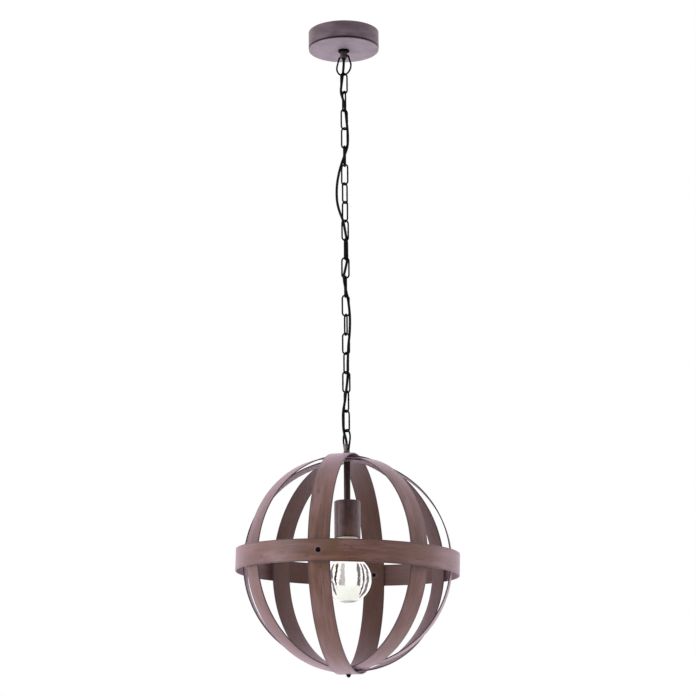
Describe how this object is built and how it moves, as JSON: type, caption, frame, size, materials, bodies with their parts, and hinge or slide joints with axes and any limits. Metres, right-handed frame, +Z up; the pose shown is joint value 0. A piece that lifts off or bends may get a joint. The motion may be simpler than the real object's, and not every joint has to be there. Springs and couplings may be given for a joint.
{
  "type": "pendant light",
  "caption": "Ceiling pendant: round canopy, welded chain with a woven-in cord, and an open sphere cage of nested strip hoops with a tilting equator band round a clear globe lamp.",
  "frame": {"origin": "centre of the canopy's rim in the ceiling plane, midway between the two ceiling screws", "axes": "+Z up into the ceiling, the light hangs towards -Z, -Y is the pictured side, +X to the right"},
  "size_m": [0.3878, 0.387, 1.1645],
  "materials": {
    "canopy_paint": "satin brown-mauve paint",
    "strip_metal": "weathered brown with lengthwise streaks",
    "cover_paint": "satin brown-grey paint",
    "hanger_paint": "satin brown-grey paint",
    "dark_iron": "dark bronze-black",
    "chain_metal": "black",
    "zinc_steel": "zinc plated",
    "brass_metal": "plain",
    "bulb_cap_metal": "plain",
    "cord_sheath": "matt black sheath",
    "core_plastic": "insulated wires",
    "black_plastic": "black plastic",
    "pale_plastic": "natural white plastic",
    "ceramic": "glazed cream ceramic",
    "clear_glass": "clear",
    "filament_coat": "amber coated rods"
  },
  "bodies": {
    "root": {"canopy": "canopy_paint", "ceiling_bracket": "zinc_steel", "ceiling_nipple": "zinc_steel", "nipple_nuts": "zinc_steel", "canopy_nut": "dark_iron", "bail_socket": "dark_iron", "cord_bush": "black_plastic", "terminal_block": "pale_plastic", "earth_screw": "brass_metal", "canopy_cores": "core_plastic", "supply_cord": "cord_sheath"},
    "ceiling_bail": {"ceiling_bail": "dark_iron"},
    "link_01": {"link_01": "chain_metal"},
    "link_02": {"link_02": "chain_metal"},
    "link_03": {"link_03": "chain_metal"},
    "link_04": {"link_04": "chain_metal"},
    "link_05": {"link_05": "chain_metal"},
    "link_06": {"link_06": "chain_metal"},
    "link_07": {"link_07": "chain_metal"},
    "link_08": {"link_08": "chain_metal"},
    "link_09": {"link_09": "chain_metal"},
    "link_10": {"link_10": "chain_metal"},
    "link_11": {"link_11": "chain_metal"},
    "link_12": {"link_12": "chain_metal"},
    "link_13": {"link_13": "chain_metal"},
    "link_14": {"link_14": "chain_metal"},
    "link_15": {"link_15": "chain_metal"},
    "link_16": {"link_16": "chain_metal"},
    "link_17": {"link_17": "chain_metal"},
    "link_18": {"link_18": "chain_metal"},
    "link_19": {"link_19": "chain_metal"},
    "cage_bail": {"cage_bail": "dark_iron"},
    "cage": {"hanger_tube": "hanger_paint", "top_washer": "hanger_paint", "hoop_outer": "strip_metal", "hoop_washers_top": "zinc_steel", "hoop_washers_bottom": "zinc_steel", "band_rivets": "dark_iron", "band_spacers": "dark_iron", "stem_tube": "dark_iron", "cover_nut": "zinc_steel", "lampholder_cover": "cover_paint", "lampholder_body": "ceramic", "screw_shell": "brass_metal", "centre_contact": "brass_metal", "lamp_lead": "cord_sheath", "bottom_bolt": "dark_iron", "bottom_cap_nut": "dark_iron"},
    "hoop_second": {"hoop_second": "strip_metal"},
    "hoop_third": {"hoop_third": "strip_metal"},
    "hoop_inner": {"hoop_inner": "strip_metal"},
    "band": {"equator_band": "strip_metal"},
    "bulb": {"bulb_glass": "clear_glass", "bulb_cap": "bulb_cap_metal", "bulb_insulator": "black_plastic", "bulb_contact": "bulb_cap_metal", "bulb_stem": "clear_glass", "bulb_filaments": "filament_coat", "bulb_wires": "zinc_steel"}
  },
  "joints": [
    {"name": "ceiling_bail_swing", "type": "hinge", "parent": "root", "child": "ceiling_bail", "pos_m": [0, 0, -0.0453], "axis": [-0.8192, 0.5736, 0], "range_deg": [-35, 35], "deforming": ["supply_cord"]},
    {"name": "link_01_swing", "type": "hinge", "parent": "ceiling_bail", "child": "link_01", "pos_m": [0, 0, -0.0809], "axis": [0.8192, -0.5736, 0], "range_deg": [-30, 30], "deforming": ["supply_cord"]},
    {"name": "link_02_swing", "type": "hinge", "parent": "link_01", "child": "link_02", "pos_m": [0, 0, -0.1154], "axis": [-0.891, -0.454, 0], "range_deg": [-30, 30], "deforming": ["supply_cord"]},
    {"name": "link_03_swing", "type": "hinge", "parent": "link_02", "child": "link_03", "pos_m": [0, 0, -0.15], "axis": [-0.4067, 0.9135, 0], "range_deg": [-30, 30], "deforming": ["supply_cord"]},
    {"name": "link_04_swing", "type": "hinge", "parent": "link_03", "child": "link_04", "pos_m": [0, 0, -0.1846], "axis": [0.866, 0.5, 0], "range_deg": [-30, 30], "deforming": ["supply_cord"]},
    {"name": "link_05_swing", "type": "hinge", "parent": "link_04", "child": "link_05", "pos_m": [0, 0, -0.2192], "axis": [0.809, -0.5878, 0], "range_deg": [-30, 30], "deforming": ["supply_cord"]},
    {"name": "link_06_swing", "type": "hinge", "parent": "link_05", "child": "link_06", "pos_m": [0, 0, -0.2538], "axis": [-0.2079, -0.9781, 0], "range_deg": [-30, 30], "deforming": ["supply_cord"]},
    {"name": "link_07_swing", "type": "hinge", "parent": "link_06", "child": "link_07", "pos_m": [0, 0, -0.2884], "axis": [-0.866, 0.5, 0], "range_deg": [-30, 30], "deforming": ["supply_cord"]},
    {"name": "link_08_swing", "type": "hinge", "parent": "link_07", "child": "link_08", "pos_m": [0, 0, -0.323], "axis": [0.6428, 0.766, 0], "range_deg": [-30, 30], "deforming": ["supply_cord"]},
    {"name": "link_09_swing", "type": "hinge", "parent": "link_08", "child": "link_09", "pos_m": [0, 0, -0.3576], "axis": [0.7071, -0.7071, 0], "range_deg": [-30, 30], "deforming": ["supply_cord"]},
    {"name": "link_10_swing", "type": "hinge", "parent": "link_09", "child": "link_10", "pos_m": [0, 0, -0.3922], "axis": [-0.891, -0.454, 0], "range_deg": [-30, 30], "deforming": ["supply_cord"]},
    {"name": "link_11_swing", "type": "hinge", "parent": "link_10", "child": "link_11", "pos_m": [0, 0, -0.4268], "axis": [-0.2079, 0.9781, 0], "range_deg": [-30, 30], "deforming": ["supply_cord"]},
    {"name": "link_12_swing", "type": "hinge", "parent": "link_11", "child": "link_12", "pos_m": [0, 0, -0.4614], "axis": [1, 0, 0], "range_deg": [-30, 30], "deforming": ["supply_cord"]},
    {"name": "link_13_swing", "type": "hinge", "parent": "link_12", "child": "link_13", "pos_m": [0, 0, -0.496], "axis": [0.2079, -0.9781, 0], "range_deg": [-30, 30], "deforming": ["supply_cord"]},
    {"name": "link_14_swing", "type": "hinge", "parent": "link_13", "child": "link_14", "pos_m": [0, 0, -0.5306], "axis": [-0.9613, -0.2756, 0], "range_deg": [-30, 30], "deforming": ["supply_cord"]},
    {"name": "link_15_swing", "type": "hinge", "parent": "link_14", "child": "link_15", "pos_m": [0, 0, -0.5652], "axis": [-0.342, 0.9397, 0], "range_deg": [-30, 30], "deforming": ["supply_cord"]},
    {"name": "link_16_swing", "type": "hinge", "parent": "link_15", "child": "link_16", "pos_m": [0, 0, -0.5998], "axis": [0.9455, 0.3256, 0], "range_deg": [-30, 30], "deforming": ["supply_cord"]},
    {"name": "link_17_swing", "type": "hinge", "parent": "link_16", "child": "link_17", "pos_m": [0, 0, -0.6344], "axis": [0.6157, -0.788, 0], "range_deg": [-30, 30], "deforming": ["supply_cord"]},
    {"name": "link_18_swing", "type": "hinge", "parent": "link_17", "child": "link_18", "pos_m": [0, 0, -0.669], "axis": [-0.9781, -0.2079, 0], "range_deg": [-30, 30], "deforming": ["supply_cord"]},
    {"name": "link_19_swing", "type": "hinge", "parent": "link_18", "child": "link_19", "pos_m": [0, 0, -0.7036], "axis": [-0.5878, 0.809, 0], "range_deg": [-30, 30], "deforming": ["supply_cord"]},
    {"name": "cage_bail_swing", "type": "hinge", "parent": "link_19", "child": "cage_bail", "pos_m": [0, 0, -0.7382], "axis": [0.7431, 0.6691, 0], "range_deg": [-30, 30], "deforming": ["supply_cord"]},
    {"name": "cage_swing", "type": "hinge", "parent": "cage_bail", "child": "cage", "pos_m": [0, 0, -0.7706], "axis": [0.3746, -0.9272, 0], "range_deg": [-35, 35], "deforming": ["supply_cord"]},
    {"name": "hoop_second_turn", "type": "hinge", "parent": "cage", "child": "hoop_second", "pos_m": [0, 0, -0.9688], "axis": [0, 0, 1], "range_deg": [-134.9, 45.1]},
    {"name": "hoop_third_turn", "type": "hinge", "parent": "cage", "child": "hoop_third", "pos_m": [0, 0, -0.9688], "axis": [0, 0, 1], "range_deg": [-55.4, 124.6]},
    {"name": "hoop_inner_turn", "type": "hinge", "parent": "cage", "child": "hoop_inner", "pos_m": [0, 0, -0.9688], "axis": [0, 0, 1], "range_deg": [-98.3, 81.7]},
    {"name": "band_tilt", "type": "hinge", "parent": "cage", "child": "band", "pos_m": [0, 0, -0.9688], "axis": [0.2504, 0.9681, 0], "range_deg": [-78, 78]},
    {"name": "bulb_release", "type": "slide", "parent": "cage", "child": "bulb", "axis": [0, 0, -1], "range_m": [0, 0.03]}
  ]
}
